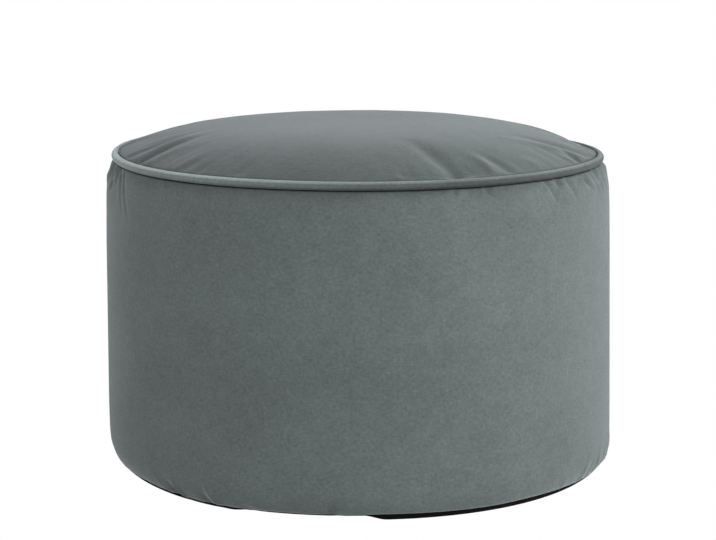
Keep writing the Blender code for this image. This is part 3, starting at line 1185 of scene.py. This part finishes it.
class FOOTSTOOL_OT_studio(bpy.types.Operator):
    """Set up the pale floor, the soft lights and the camera"""

    bl_idname = "footstool.studio"
    bl_label = "Studio"
    bl_options = {"REGISTER", "UNDO"}

    def execute(self, context):
        studio = context.scene.footstool_studio
        self.add_floor(context, studio)
        for softbox in SOFTBOXES:
            self.add_softbox(context, softbox)
        self.add_camera(context, studio)
        world = bpy.data.worlds.new("Studio air")
        world.use_nodes = True
        tree = world.node_tree
        background = tree.nodes["Background"]
        seen = add_node(tree, "ShaderNodeLightPath", {}).outputs["Is Camera Ray"]
        feed(tree, background, {"Color": WHITE, "Strength": ranged(tree, seen, 0.0, 1.0, studio.air, 1.0)})
        context.scene.world = world
        context.scene.view_settings.view_transform = "Standard"
        return {"FINISHED"}

    def add_floor(self, context, studio):
        deselect_all()
        bpy.ops.mesh.primitive_circle_add(vertices=96, radius=studio.floor_radius, fill_type="NGON")
        floor = context.object
        floor.name = floor.data.name = "studio_floor"
        material, tree, shader = new_material("Studio floor")
        inputs = {"Base Color": (0.8, 0.8, 0.8, 1.0), "Roughness": 0.9, "Specular IOR Level": 0.0}
        feed(tree, shader, inputs)
        glow = add_node(tree, "ShaderNodeEmission", {"Color": WHITE, "Strength": 1.0}).outputs[0]
        seen = add_node(tree, "ShaderNodeLightPath", {}).outputs["Is Camera Ray"]
        mixed = add_node(tree, "ShaderNodeMixShader", {0: seen, 1: shader.outputs[0], 2: glow}).outputs[0]
        feed(tree, tree.nodes["Material Output"], {"Surface": mixed})
        floor.data.materials.append(material)

    def add_softbox(self, context, softbox):
        light = bpy.data.lights.new(softbox.name, "AREA")
        light.shape = "RECTANGLE"
        light.size, light.size_y = softbox.size
        light.energy = softbox.power
        holder = bpy.data.objects.new(softbox.name, light)
        holder.location = softbox.place
        away = holder.location - Vector(LIT_POINT)
        holder.rotation_euler = away.to_track_quat("Z", "Y").to_euler()
        holder.visible_camera = False
        context.scene.collection.objects.link(holder)

    def add_camera(self, context, studio):
        camera = bpy.data.cameras.new("Studio camera")
        camera.lens = studio.lens
        camera.sensor_width = 36.0
        holder = bpy.data.objects.new("Studio camera", camera)
        holder.location = (0.0, -studio.distance, studio.eye_height)
        holder.rotation_euler = (math.pi / 2 - studio.tilt, 0.0, -studio.turn)
        context.scene.collection.objects.link(holder)
        context.scene.camera = holder


# ---- settings


def setting(name, description, default, **limits):
    return bpy.props.FloatProperty(name=name, description=description, default=default, **limits)


def length_setting(name, description, default):
    return setting(name, description, default, min=0.0, unit="LENGTH")


def share_setting(name, description, default, most=1.0):
    return setting(name, description, default, min=0.0, max=most)


def colour_setting(name, description, default):
    return bpy.props.FloatVectorProperty(
        name=name, description=description, default=default, size=3, subtype="COLOR", min=0.0, max=1.0
    )


class FootstoolShape(bpy.types.PropertyGroup):
    seam_radius: length_setting("Seam radius", "Radius of the piping's middle", SEAM_RADIUS)
    seam_height: length_setting("Seam height", "Height of the piping's middle", SEAM_HEIGHT)
    cord_diameter: length_setting("Piping", "Thickness of the covered cord", CORD)
    crown_height: length_setting("Crown height", "Height of the middle of the top panel", CROWN_HEIGHT)
    hip_radius: length_setting("Hip radius", "Radius of the body above its lower edge", HIP_RADIUS)
    cloth_thickness: length_setting("Cloth", "Thickness of the cloth", 0.002)
    gathering: share_setting("Gathering", "How much cloth is gathered into the seams", 1.0, most=2.0)


class FootstoolFinish(bpy.types.PropertyGroup):
    velvet_colour: colour_setting("Velvet", "Colour of the velvet", (0.118, 0.142, 0.139))
    sheen_colour: colour_setting("Sheen colour", "Colour of the pile's tips", (0.895, 0.975, 1.0))
    sheen: share_setting("Sheen", "How much light the pile's tips scatter", 0.42)
    sheen_spread: share_setting("Sheen spread", "How wide the sheen is", 0.41)
    brushed: share_setting("Brushed", "How much the lightness of the nap changes in patches", 0.10)
    mottled: share_setting("Mottled", "How much the fine mottling of the nap shows", 0.11)
    # near pure black: the real black base cloth, and painted shadow under the lower edge
    base_and_shadow_colour: colour_setting("Base cloth and painted shadow", "Colour of the base cloth, near black to paint its shadow too", (0.003, 0.003, 0.0035))


class FootstoolStudio(bpy.types.PropertyGroup):
    distance: length_setting("Camera distance", "Distance of the camera in front of the middle", 2.150)
    eye_height: length_setting("Camera height", "Height of the camera above the floor", 0.5627)
    tilt: setting("Tilt", "How far the camera looks down", 0.16917, subtype="ANGLE")
    turn: setting("Turn", "How far the camera looks to the right", 0.00014, subtype="ANGLE")
    lens: setting("Lens", "Focal length of the camera", 109.0, subtype="DISTANCE_CAMERA")
    air: share_setting("Air light", "Strength of the light from all round", 0.17)
    floor_radius: length_setting("Floor", "Radius of the pale floor", 30.0)


class FOOTSTOOL_PT_sidebar(bpy.types.Panel):
    bl_idname = "FOOTSTOOL_PT_sidebar"
    bl_label = "Bean Bag Footstool"
    bl_space_type = "VIEW_3D"
    bl_region_type = "UI"
    bl_category = "Footstool"

    def draw(self, context):
        scene = context.scene
        for settings in (scene.footstool_shape, scene.footstool_finish, scene.footstool_studio):
            part = self.layout.box()
            for name in settings.bl_rna.properties.keys():
                if name not in {"rna_type", "name"}:
                    part.prop(settings, name)
        for operator in OPERATORS:
            self.layout.operator(operator.bl_idname)


SETTINGS = {
    "footstool_shape": FootstoolShape,
    "footstool_finish": FootstoolFinish,
    "footstool_studio": FootstoolStudio,
}
OPERATORS = (
    FOOTSTOOL_OT_studio,
    FOOTSTOOL_OT_side_band,
    FOOTSTOOL_OT_top_panel,
    FOOTSTOOL_OT_piping,
    FOOTSTOOL_OT_base_panel,
)
CLASSES = (*SETTINGS.values(), *OPERATORS, FOOTSTOOL_PT_sidebar)


def register():
    for each in CLASSES:
        bpy.utils.register_class(each)
    for name, settings in SETTINGS.items():
        setattr(bpy.types.Scene, name, bpy.props.PointerProperty(type=settings))


def unregister():
    for name in SETTINGS:
        delattr(bpy.types.Scene, name)
    for each in reversed(CLASSES):
        bpy.utils.unregister_class(each)


def main():
    register()
    bpy.ops.footstool.studio()
    bpy.ops.footstool.side_band()
    bpy.ops.footstool.top_panel()
    bpy.ops.footstool.piping()
    bpy.ops.footstool.base_panel()


if __name__ == "__main__":
    main()
